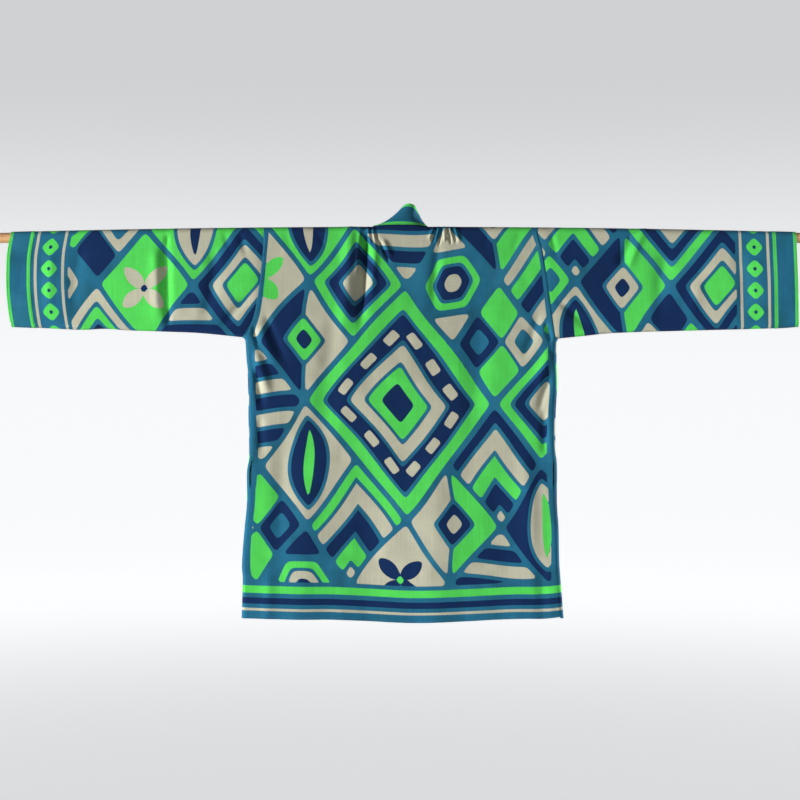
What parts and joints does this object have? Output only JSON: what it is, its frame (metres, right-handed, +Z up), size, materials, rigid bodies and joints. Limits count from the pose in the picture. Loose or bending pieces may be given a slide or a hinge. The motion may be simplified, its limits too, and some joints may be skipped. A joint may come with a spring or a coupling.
{
  "type": "short kimono on a rod",
  "caption": "Short straight-cut kimono jacket with narrow tube sleeves and a plain neckband, hung arms out on a wooden rod run through its sleeves.",
  "frame": {"origin": "on the rod's axis at its mid length, where the rod is held", "axes": "+X along the rod, to the right when the garment's back is seen; +Y away from its back towards its front; +Z up"},
  "size_m": [1.52, 0.0298, 0.7399],
  "materials": {
    "printed_cloth": "matte",
    "band_cloth": "matte",
    "wood": "satin"
  },
  "bodies": {
    "root": {"rod": "wood", "back": "printed_cloth", "front_left": "printed_cloth", "front_right": "printed_cloth", "sleeve_left": "printed_cloth", "sleeve_right": "printed_cloth", "cuff_band_left": "band_cloth", "cuff_band_right": "band_cloth", "neckband": "band_cloth"}
  },
  "joints": []
}
